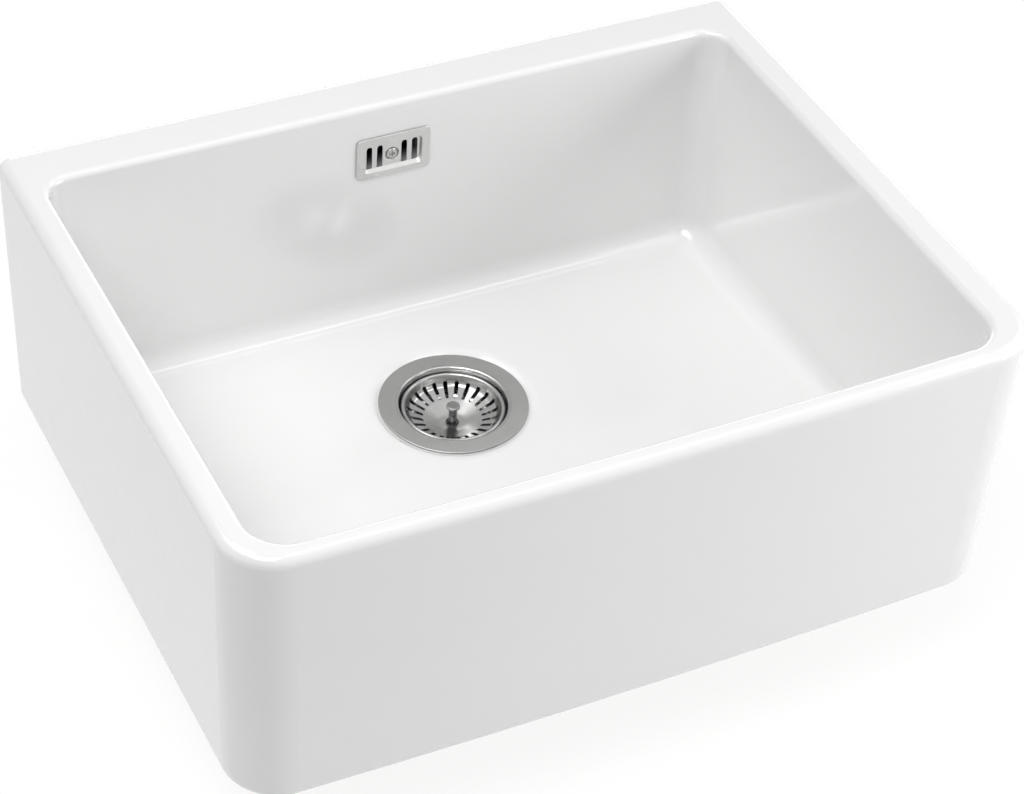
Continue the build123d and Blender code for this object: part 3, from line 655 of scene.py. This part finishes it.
@dataclass(frozen=True)
class Rubber:
    """Black rubber of the seals, with a trace of bloom."""

    black: Colour = (0.028, 0.028, 0.03)
    bloom: Colour = (0.085, 0.085, 0.088)
    bloom_scale: float = 60.0
    bloom_most: float = 0.6
    roughness: tuple[float, float] = (0.55, 0.75)
    grain_scale: float = 1800.0
    grain_depth: float = 0.00006
    edge: float = 0.0004

    def build(self, effects: EffectLibrary) -> bpy.types.Material:
        """Makes the material.

        Args:
            effects: Shared effects.

        Returns:
            The material.
        """
        material, graph, shader = open_material("seal_rubber")
        cloud = effects.cloud(graph, Scale=self.bloom_scale, High=self.bloom_most)
        grain = effects.grain(graph, self.grain_scale)
        soft = effects.use(graph, Effect.SOFT_EDGE, Radius=self.edge)["Normal"]
        graph.fill(shader, {
            "Base Color": graph.blend(cloud, self.black, self.bloom),
            "Roughness": graph.span(grain, 0.0, 1.0, *self.roughness),
            "Normal": graph.bump(grain, self.grain_depth, soft),
        })
        return material


@dataclass(frozen=True)
class MouldedPlastic:
    """Moulded polypropylene with a spark-textured skin, lighter edges and painted shade in its hollows."""

    name: str
    tone: Colour = (0.84, 0.84, 0.825)
    roughness: float = 0.42
    roughness_change: float = 0.15
    grain_scale: float = 1100.0
    grain_depth: float = 0.00004
    cloud_scale: float = 26.0
    cloud_most: float = 0.5
    cloud_shade: float = 0.93
    edge: float = 0.0006
    edge_shade: float = 1.05
    hollow_shade_reach: float = 0.03
    hollow_shade_range: tuple[float, float] = (0.02, 0.15)
    hollow_painted_shade: float = 0.06
    glow: float = 0.06
    glow_reach: tuple[float, float, float] = (0.003, 0.003, 0.003)
    thread: ThreadRun | None = None

    def build(self, effects: EffectLibrary) -> bpy.types.Material:
        """Makes the material.

        Args:
            effects: Shared effects.

        Returns:
            The material.
        """
        material, graph, shader = open_material(self.name)
        cloud = effects.cloud(graph, Scale=self.cloud_scale, High=self.cloud_most)
        grain = effects.grain(graph, self.grain_scale)
        soft = effects.use(graph, Effect.SOFT_EDGE, Radius=self.edge)
        body = graph.blend(cloud, self.tone, shaded(self.tone, self.cloud_shade))
        outside = graph.blend(soft["Mask"], body, shaded(self.tone, self.edge_shade))
        # Painted shade: where the piece's own ambient occlusion is deep, inside its hollows, the colour goes
        # near black.
        open_air = graph.span(graph.open_air(self.hollow_shade_reach), *self.hollow_shade_range)
        normal = soft["Normal"]
        if self.thread:
            ridge = effects.use(graph, Effect.SCREW_THREAD, **self.thread.values())["Height"]
            normal = graph.bump(ridge, self.thread.depth, normal)
        graph.fill(shader, {
            "Base Color": graph.blend(open_air, shaded(self.tone, self.hollow_painted_shade), outside),
            "Roughness": graph.span(grain, 0.0, 1.0, *about(self.roughness, self.roughness_change)),
            "Normal": graph.bump(grain, self.grain_depth, normal),
            "Subsurface Weight": self.glow,
            "Subsurface Radius": self.glow_reach,
        })
        return material


class Finishes:
    """Every finish of the sink, each made once."""

    def __init__(self) -> None:
        """Makes the shared effects and the materials."""
        effects = EffectLibrary()
        self.by_slot: dict[str, bpy.types.Material] = {
            "glaze": Glaze().build(effects),
            "brushed_steel": Steel("brushed_steel_rings", inner_radius=0.0436).build(effects),
            "polished_steel": Steel(
                "polished_steel", tone=0.56, roughness=0.14, ring_depth=0.000004, ring_density=2600.0
            ).build(effects),
            "fastener_steel": Steel(
                "bright_fastener_steel", tone=0.5, roughness=0.14, ring_depth=0.000004, ring_density=3000.0
            ).build(effects),
            "brass": Brass().build(effects),
            "rubber": Rubber().build(effects),
            "white_plastic": MouldedPlastic("moulded_white_plastic").build(effects),
            "grey_plastic": MouldedPlastic(
                "flexible_grey_plastic", tone=(0.60, 0.61, 0.62), roughness=0.5, grain_scale=700.0
            ).build(effects),
        }
        self.plate = Steel(
            "satin_plate_steel", tone=0.68, roughness=0.28, ring_depth=0.000004, centre=OVERFLOW_MOUTH
        ).build(effects)
        self.basket = Steel(
            "slotted_basket_steel", tone=0.44, roughness=0.14, ring_depth=0.000004, ring_density=3600.0,
            inner_radius=0.021, inner_roughness=0.27,
        ).build(effects)
        # The knob's post below 23.2 mm is blotched with black as painted shade and painted dark reflection.
        self.knob = Steel(
            "turned_knob_steel", tone=0.3, roughness=0.32, ring_depth=0.000006, ring_density=2600.0,
            painted_shade_below=0.0232,
        ).build(effects)
        self.threaded = MouldedPlastic("threaded_white_plastic", thread=ThreadRun()).build(effects)


@dataclass
class SubAssembly:
    """Group of the sink's pieces, carried over from the frame by the names in NODES or built here."""

    NODES: ClassVar[tuple[str, ...]] = ()
    finishes: Finishes
    pieces: list[bpy.types.Object] = field(default_factory=list)

    def own_finishes(self) -> dict[str, bpy.types.Material]:
        """Nodes with a finish that differs from the one of their slot."""
        return {}

    def build(self) -> None:
        """Builds the pieces that it adds."""

    def dress(self) -> None:
        """Gives each node its own finish, or else the finish of its slot in the record."""
        slots = {row["node"]: row["material_slot"] for row in frame["record"]["subparts"]}
        own = self.own_finishes()
        for name in self.NODES:
            material = own[name] if name in own else self.finishes.by_slot[slots[name]]
            self.add_piece(frame["nodes"][name], material)

    def add_piece(self, piece: bpy.types.Object, material: bpy.types.Material) -> None:
        """Gives a piece its finish and notes it for the report.

        Args:
            piece: Object of the scene.
            material: Its finish.
        """
        piece.data.materials.clear()
        piece.data.materials.append(material)
        self.pieces.append(piece)

    @staticmethod
    def _to_object(mesh: bmesh.types.BMesh, name: str, crease: float = math.pi) -> bpy.types.Object:
        """Turns a finished mesh into an object of the scene, shaded smooth.

        Args:
            mesh: Mesh to hand over, which is freed.
            name: Name of the object and its mesh.
            crease: Angle from which an edge stays sharp.

        Returns:
            The new object.
        """
        bmesh.ops.recalc_face_normals(mesh, faces=mesh.faces)
        for face in mesh.faces:
            face.smooth = True
        for edge in mesh.edges:
            edge.smooth = edge.calc_face_angle(0.0) < crease
        data = bpy.data.meshes.new(name)
        mesh.to_mesh(data)
        mesh.free()
        piece = bpy.data.objects.new(name, data)
        bpy.context.scene.collection.objects.link(piece)
        return piece

    def report(self) -> None:
        """Writes its pieces to the log."""
        for piece in self.pieces:
            LOG.info("%s: %s, %d faces", type(self).__name__, piece.name, len(piece.data.polygons))


@dataclass
class Bowl(SubAssembly):
    """The glazed bowl."""

    NODES = ("sink_bowl",)


@dataclass
class Waste(SubAssembly):
    """Strainer dish, the basket's knob and plug seal, and the moulded body under the bowl."""

    NODES = (
        "flange_seal", "strainer_dish", "basket_knob", "seal_washer", "basket_seal",
        "seal_nut", "body_seal", "waste_body", "clamp_insert", "clamp_washer", "clamp_screw",
    )

    def own_finishes(self) -> dict[str, bpy.types.Material]:
        """Body with a thread on its outlet, and knob that is turned and not polished."""
        return {"waste_body": self.finishes.threaded, "basket_knob": self.finishes.knob}


@dataclass
class Basket(SubAssembly):
    """Lift-out basket pressed from sheet: flat centre, slots from the cone up into the wall, rolled rim.

    The outline's points are radius and height of the upper face.
    """

    sheet: float = 0.0008
    line: tuple[tuple[float, float], ...] = (
        (0.00305, 0.0082), (0.0085, 0.0082), (0.0336, 0.0172), (0.0366, 0.0240),
    )
    bends: tuple[float, ...] = (0.019, 0.007)
    rim: tuple[float, float] = (0.0398, 0.0236)
    arc_steps: int = 10
    station_step: float = 0.0008
    slots: int = 24
    slot_inside: float = 0.0222
    slot_top: float = 0.0196
    slot_widths: tuple[float, float] = (0.0026, 0.0034)
    slot_corner: float = 0.0011
    slot_end_share: float = 0.45
    slot_most: float = 0.4
    web_columns: int = 3
    crease: float = math.radians(40.0)
    slack: float = 1e-9

    def build(self) -> None:
        """Builds the basket."""
        basket = self._basket()
        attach(basket, "basket")
        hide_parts("strainer_basket")
        self.add_piece(basket, self.finishes.basket)

    def _arc(self, start: Vector, heading: Vector, side: Vector, bend: float, turn: float) -> list[Vector]:
        """Points of an arc of the outline, its start among them, with its centre to the given side."""
        parts = [turn * step / self.arc_steps for step in range(self.arc_steps + 1)]
        return [start + bend * (math.sin(part) * heading + (1 - math.cos(part)) * side) for part in parts]

    def _profile(self) -> list[Vector]:
        """Lays out the upper face's outline.

        Returns:
            Points of its straight runs, rounded corners and the arc of the rim.
        """
        line = [Vector(spot) for spot in self.line]
        points = [line[0]]
        for before, corner, after, bend in zip(line, line[1:], line[2:], self.bends):
            inward, outward = (corner - before).normalized(), (after - corner).normalized()
            turn = inward.angle(outward)
            start = corner - inward * bend * math.tan(turn / 2)
            points += self._arc(start, inward, Vector((-inward.y, inward.x)), bend, turn)
        heading, chord = (line[-1] - points[-1]).normalized(), Vector(self.rim) - line[-1]
        turn = 2 * heading.angle(chord)
        bend = chord.length / (2 * math.sin(turn / 2))
        return points + self._arc(line[-1], heading, Vector((heading.y, -heading.x)), bend, turn)

    def _stations(self) -> tuple[list[tuple[Vector, Vector]], int, int]:
        """Places along the outline where the mesh has a ring.

        Returns:
            Upper and lower point of each ring, and the first and last ring of the slots.
        """
        points = self._profile()
        runs = [0.0]
        for first, second in zip(points, points[1:]):
            runs.append(runs[-1] + (second - first).length)

        def spot(along: float) -> tuple[Vector, Vector]:
            """Finds a place on the outline.

            Args:
                along: Distance from the outline's start.

            Returns:
                The point there and the direction of the outline.
            """
            ahead = next(i for i in range(1, len(runs)) if runs[i] >= along - self.slack)
            step = points[ahead] - points[ahead - 1]
            share = (along - runs[ahead - 1]) / (runs[ahead] - runs[ahead - 1])
            return points[ahead - 1] + share * step, step.normalized()

        count = round(runs[-1] / self.station_step)
        spots = [spot(runs[-1] * place / count) for place in range(count + 1)]
        first = min(range(count + 1), key=lambda place: abs(spots[place][0].x - self.slot_inside))
        on_wall = [place for place in range(count + 1) if spots[place][0].x > self.line[2][0]]
        rising = on_wall[:len(on_wall) // 2]
        last = min(rising, key=lambda place: abs(spots[place][0].y - self.slot_top))
        rings = [(upper, upper + self.sheet * Vector((heading.y, -heading.x))) for upper, heading in spots]
        return rings, first, last

    def _turns(self, reach: float) -> list[float]:
        """Angles of one ring's points.

        Args:
            reach: Half of a slot's angle.

        Returns:
            For each slot its two edges and middle, then the points of the web beside it.
        """
        sector = FULL_TURN / self.slots
        web = (sector - 2 * reach) / self.web_columns
        steps = [-reach, 0.0, reach] + [reach + web * part for part in range(1, self.web_columns)]
        return [slot * sector + step for slot in range(self.slots) for step in steps]

    def _half_width(self, place: int, first: int, last: int) -> float:
        """Half of a slot's width.

        Args:
            place: Ring to work it out for.
            first: Ring where the slots start.
            last: Ring where they end.

        Returns:
            Half of the width, which grows outward and narrows in the rounded ends.
        """
        share = min(max((place - first) / (last - first), 0.0), 1.0)
        narrow, wide = self.slot_widths
        half = 0.5 * (narrow + (wide - narrow) * share)
        inset = min(place - first, last - place) * self.station_step
        if 0 <= inset < self.slot_corner:
            rounding = math.sqrt(1 - (1 - inset / self.slot_corner) ** 2)
            half *= self.slot_end_share + (1 - self.slot_end_share) * rounding
        return half

    @staticmethod
    def _spin(spot: Vector, turn: float) -> tuple[float, float, float]:
        """Place of an outline's point that is turned round the waste's axis."""
        return WASTE_CENTRE[0] + spot.x * math.cos(turn), WASTE_CENTRE[1] + spot.x * math.sin(turn), spot.y

    def _basket(self) -> bpy.types.Object:
        """Builds the basket's mesh, with its slots as real gaps.

        Returns:
            The basket.
        """
        rings, first, last = self._stations()
        most = self.slot_most * FULL_TURN / self.slots
        mesh = bmesh.new()
        grid: Grid = []
        for place, pair in enumerate(rings):
            turns = self._turns(min(self._half_width(place, first, last) / pair[0].x, most))
            grid.append([[mesh.verts.new(self._spin(spot, turn)) for turn in turns] for spot in pair])
        self._fill(mesh, grid, first, last)
        return self._to_object(mesh, "slotted_strainer_basket", self.crease)

    def _fill(self, mesh: bmesh.types.BMesh, grid: Grid, first: int, last: int) -> None:
        """Adds the faces between the points.

        Args:
            mesh: Mesh that holds the points.
            grid: Points by ring, then upper or lower side, then column.
            first: Ring where the slots start.
            last: Ring where they end.
        """
        columns = 2 + self.web_columns
        total = columns * self.slots
        ends = len(grid) - 1
        for side in (0, 1):
            for place in range(ends):
                low, high = grid[place][side], grid[place + 1][side]
                for column in range(total):
                    if column % columns < 2 and first <= place < last:
                        continue
                    ahead = (column + 1) % total
                    mesh.faces.new((low[column], low[ahead], high[ahead], high[column]))
        for place in (0, ends, first, last):
            upper, lower = grid[place]
            for column in range(total):
                if place in (first, last) and column % columns >= 2:
                    continue
                ahead = (column + 1) % total
                mesh.faces.new((upper[column], upper[ahead], lower[ahead], lower[column]))
        for place in range(first, last):
            low, high = grid[place], grid[place + 1]
            for column in range(total):
                if column % columns in (0, 2):
                    mesh.faces.new((low[0][column], high[0][column], high[1][column], low[1][column]))


@dataclass
class Overflow(SubAssembly):
    """Plate on the back wall, elbow behind it and the ribbed hose down to the waste."""

    NODES = (
        "overflow_plate", "plate_seal", "overflow_screw", "elbow_seal", "overflow_elbow", "elbow_insert",
        "upper_hose_washer", "upper_hose_nut", "lower_hose_washer", "lower_hose_nut",
    )
    hose_top: tuple[float, float, float] = (-0.004, 0.2485, 0.1402)
    hose_drop: float = 0.1222
    hose_bend: float = 0.042
    hose_level: float = 0.077
    hose_ribs: int = 30
    hose_rib_steps: int = 13
    hose_sides: int = 48
    hose_bore: float = 0.0095
    hose_valley: float = 0.0104
    hose_crest: float = 0.012
    hose_cuff: float = 0.0115
    hose_cuff_run: float = 0.013
    hose_lip: float = 0.0132
    hose_lip_run: float = 0.002
    hose_lip_step: float = 0.00002

    def own_finishes(self) -> dict[str, bpy.types.Material]:
        """Plate with a grain that runs round its own middle."""
        return {"overflow_plate": self.finishes.plate}

    def build(self) -> None:
        """Builds the ribbed hose."""
        hose = self._hose()
        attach(hose, "bowl")
        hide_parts("overflow_hose")
        self.add_piece(hose, self.finishes.by_slot["grey_plastic"])

    def _hose_length(self) -> float:
        """Length of the hose along its middle line."""
        return self.hose_drop + self.hose_bend * math.pi / 2 + self.hose_level

    def _hose_spot(self, along: float) -> tuple[Vector, Vector]:
        """Point of the hose's middle line, with the normal that lies in the plane of its bend.

        Args:
            along: Distance from the upper end.

        Returns:
            The point and the outward normal of the bend.
        """
        top = Vector(self.hose_top)
        if along <= self.hose_drop:
            return top - Vector((0.0, 0.0, along)), Vector((0.0, 1.0, 0.0))
        centre = top - Vector((0.0, self.hose_bend, self.hose_drop))
        turn = min((along - self.hose_drop) / self.hose_bend, math.pi / 2)
        outward = Vector((0.0, math.cos(turn), -math.sin(turn)))
        beyond = max(0.0, along - self.hose_drop - self.hose_bend * math.pi / 2)
        return centre + self.hose_bend * outward - Vector((0.0, beyond, 0.0)), outward

    def _hose_profile(self) -> list[tuple[float, float]]:
        """Lays out the hose's outside: lips, cuffs and rounded ribs.

        Returns:
            Distances along the hose, each with the radius there.
        """
        length = self._hose_length()
        end = [
            (0.0, self.hose_lip),
            (self.hose_lip_run, self.hose_lip),
            (self.hose_lip_run + self.hose_lip_step, self.hose_cuff),
            (self.hose_cuff_run, self.hose_cuff),
        ]
        profile = end.copy()
        step = (length - 2 * self.hose_cuff_run) / self.hose_ribs
        for rib in range(self.hose_ribs):
            start = self.hose_cuff_run + rib * step
            for part in range(1, self.hose_rib_steps):
                share = part / self.hose_rib_steps
                swell = 0.5 - 0.5 * math.cos(FULL_TURN * share)
                rise = swell * swell * (3 - 2 * swell)
                radius = self.hose_valley + (self.hose_crest - self.hose_valley) * rise
                profile.append((start + share * step, radius))
        return profile + [(length - along, radius) for along, radius in reversed(end)]

    def _hose(self) -> bpy.types.Object:
        """Builds the ribbed hose, with a lip and a plain cuff at each end.

        Returns:
            The hose.
        """
        mesh = bmesh.new()
        rings = []
        length, steps = self._hose_length(), 2 * self.hose_ribs
        bore = [(length * step / steps, self.hose_bore) for step in range(steps, -1, -1)]
        for along, radius in self._hose_profile() + bore:
            spot, outward = self._hose_spot(along)
            ring = []
            for side in range(self.hose_sides):
                turn = FULL_TURN * side / self.hose_sides
                reach = math.cos(turn) * Vector((1.0, 0.0, 0.0)) + math.sin(turn) * outward
                ring.append(mesh.verts.new(spot + radius * reach))
            rings.append(ring)
        for first, second in zip(rings, rings[1:] + rings[:1]):
            for side in range(self.hose_sides):
                ahead = (side + 1) % self.hose_sides
                mesh.faces.new((first[side], first[ahead], second[ahead], second[side]))
        return self._to_object(mesh, "ribbed_overflow_hose")


@dataclass(frozen=True)
class Lamp:
    """One soft box of the studio, at an azimuth and elevation from the point that it is aimed at."""

    name: str
    azimuth: float
    elevation: float
    distance: float
    width: float
    height: float
    power: float
    aim: tuple[float, float, float] = (0.0, 0.0, 0.1)

    def build(self) -> None:
        """Makes the lamp."""
        data = bpy.data.lights.new(self.name, "AREA")
        data.shape, data.size, data.size_y, data.energy = "RECTANGLE", self.width, self.height, self.power
        turn, tilt = math.radians(self.azimuth), math.radians(self.elevation)
        reach = Vector((math.sin(turn) * math.cos(tilt), math.cos(turn) * math.cos(tilt), math.sin(tilt)))
        lamp = bpy.data.objects.new(self.name, data)
        lamp.location = Vector(self.aim) + self.distance * reach
        lamp.rotation_mode = "QUATERNION"
        lamp.rotation_quaternion = (-reach).to_track_quat("-Z", "Y")
        bpy.context.scene.collection.objects.link(lamp)


@dataclass(frozen=True)
class Studio:
    """White floor and surround with soft boxes above and to the sides.

    The floor's glow is what the camera sees of it. It leaves room for a faint shadow near the sink, and fades
    to full white between the two distances of shadow_reach.
    """

    floor_tone: float = 0.8
    floor_half: float = 6.0
    floor_glow: float = 1.06
    glow_share: float = 0.84
    shadow_reach: tuple[float, float] = (0.6, 1.6)
    surround: float = 0.1
    lamps: tuple[Lamp, ...] = (
        Lamp("high_front_left_box", 225.0, 60.0, 2.6, 1.2, 1.2, 30.8),
        Lamp("high_left_box", 270.0, 60.0, 2.6, 1.2, 1.2, 14.5),
        Lamp("high_back_left_box", 315.0, 60.0, 2.6, 1.2, 1.2, 9.0),
        Lamp("low_front_right_box", 130.0, 16.0, 1.78, 0.8, 0.8, 13.2),
        Lamp("right_box", 90.0, 35.0, 2.6, 1.2, 1.2, 7.5),
        Lamp("low_back_strip", 30.0, 14.0, 2.6, 2.4, 0.8, 10.0),
        Lamp("overhead_strip", 0.0, 90.0, 2.1, 1.3, 0.3, 4.0, (0.7, -0.3, 0.0)),
    )

    def build(self) -> None:
        """Makes the floor, the surround and the lamps."""
        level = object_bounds()[0].z
        mesh = bpy.data.meshes.new("studio_floor")
        half = self.floor_half
        corners = [(-half, -half, level), (half, -half, level), (half, half, level), (-half, half, level)]
        mesh.from_pydata(corners, [], [(0, 1, 2, 3)])
        floor = bpy.data.objects.new("studio_floor", mesh)
        bpy.context.scene.collection.objects.link(floor)
        mesh.materials.append(self._floor_material())
        floor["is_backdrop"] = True
        self._surround()
        for lamp in self.lamps:
            lamp.build()

    @staticmethod
    def _seen(graph: Graph) -> Socket:
        """Mask of the rays that see the background.

        Args:
            graph: Graph of the material.

        Returns:
            1 for rays from the camera, or by way of gloss or glass, and 0 for the others.
        """
        path = graph.add("ShaderNodeLightPath").outputs
        seen = graph.sum("ADD", path["Is Camera Ray"], path["Is Glossy Ray"])
        return graph.sum("ADD", seen, path["Is Transmission Ray"], clamp=True)

    def _floor_material(self) -> bpy.types.Material:
        """Makes the white floor, which keeps a faint shadow of the object and is clear from below.

        Returns:
            The floor's material.
        """
        material = bpy.data.materials.new("studio_floor_white")
        material.use_nodes = True
        material.node_tree.nodes.clear()
        graph = Graph(material.node_tree)
        away = graph.add("ShaderNodeVectorMath", {0: graph.place()}, operation="LENGTH").outputs["Value"]
        glow = graph.span(away, *self.shadow_reach, self.glow_share, 1.0)
        share = graph.product(self._seen(graph), glow)
        matt = graph.add("ShaderNodeBsdfDiffuse", {0: (self.floor_tone,) * 3}).outputs[0]
        white = graph.add("ShaderNodeEmission", {0: (1.0, 1.0, 1.0), 1: self.floor_glow}).outputs[0]
        upper = graph.add("ShaderNodeMixShader", {0: share, 1: matt, 2: white}).outputs[0]
        below = graph.add("ShaderNodeNewGeometry").outputs["Backfacing"]
        clear = graph.add("ShaderNodeBsdfTransparent").outputs[0]
        both = graph.add("ShaderNodeMixShader", {0: below, 1: upper, 2: clear}).outputs[0]
        graph.add("ShaderNodeOutputMaterial", {0: both})
        return material

    def _surround(self) -> None:
        """Even light from all round, which looks white."""
        world = bpy.data.worlds.new("studio_surround")
        bpy.context.scene.world = world
        world.use_nodes = True
        world.node_tree.nodes.clear()
        graph = Graph(world.node_tree)
        strength = graph.mix(self._seen(graph), self.surround, 1.0)
        light = graph.add("ShaderNodeBackground", {0: (1.0, 1.0, 1.0), 1: strength}).outputs[0]
        graph.add("ShaderNodeOutputWorld", {0: light})


@dataclass(frozen=True)
class PhotoCamera:
    """Camera at the photograph's place."""

    place: tuple[float, float, float] = (-0.7547, -1.40013, 1.44368)
    aim: tuple[float, float, float] = (-0.001985, -0.021857, 0.102781)
    roll: float = 4.18764
    lens: float = 100.9833
    sensor: float = 36.0
    clip: tuple[float, float] = (0.05, 50.0)

    def build(self) -> None:
        """Makes the camera and gives it to the scene."""
        data = bpy.data.cameras.new("photo_camera")
        data.lens, data.sensor_width = self.lens, self.sensor
        data.clip_start, data.clip_end = self.clip
        camera = bpy.data.objects.new("photo_camera", data)
        camera.location = self.place
        camera.rotation_mode = "QUATERNION"
        level = (Vector(self.aim) - Vector(self.place)).to_track_quat("-Z", "Y")
        camera.rotation_quaternion = level @ Quaternion((0.0, 0.0, 1.0), math.radians(self.roll))
        bpy.context.scene.collection.objects.link(camera)
        bpy.context.scene.camera = camera


def main() -> None:
    """Builds the sink's looks and the studio."""
    logging.basicConfig(level=logging.INFO, format="%(message)s")
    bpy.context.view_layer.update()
    finishes = Finishes()
    for part in (Bowl(finishes), Waste(finishes), Basket(finishes), Overflow(finishes)):
        part.build()
        part.dress()
        part.report()
    Studio().build()
    PhotoCamera().build()
    bpy.context.scene.view_settings.view_transform = "Standard"
    bpy.context.view_layer.update()


if __name__ == "__main__":
    main()
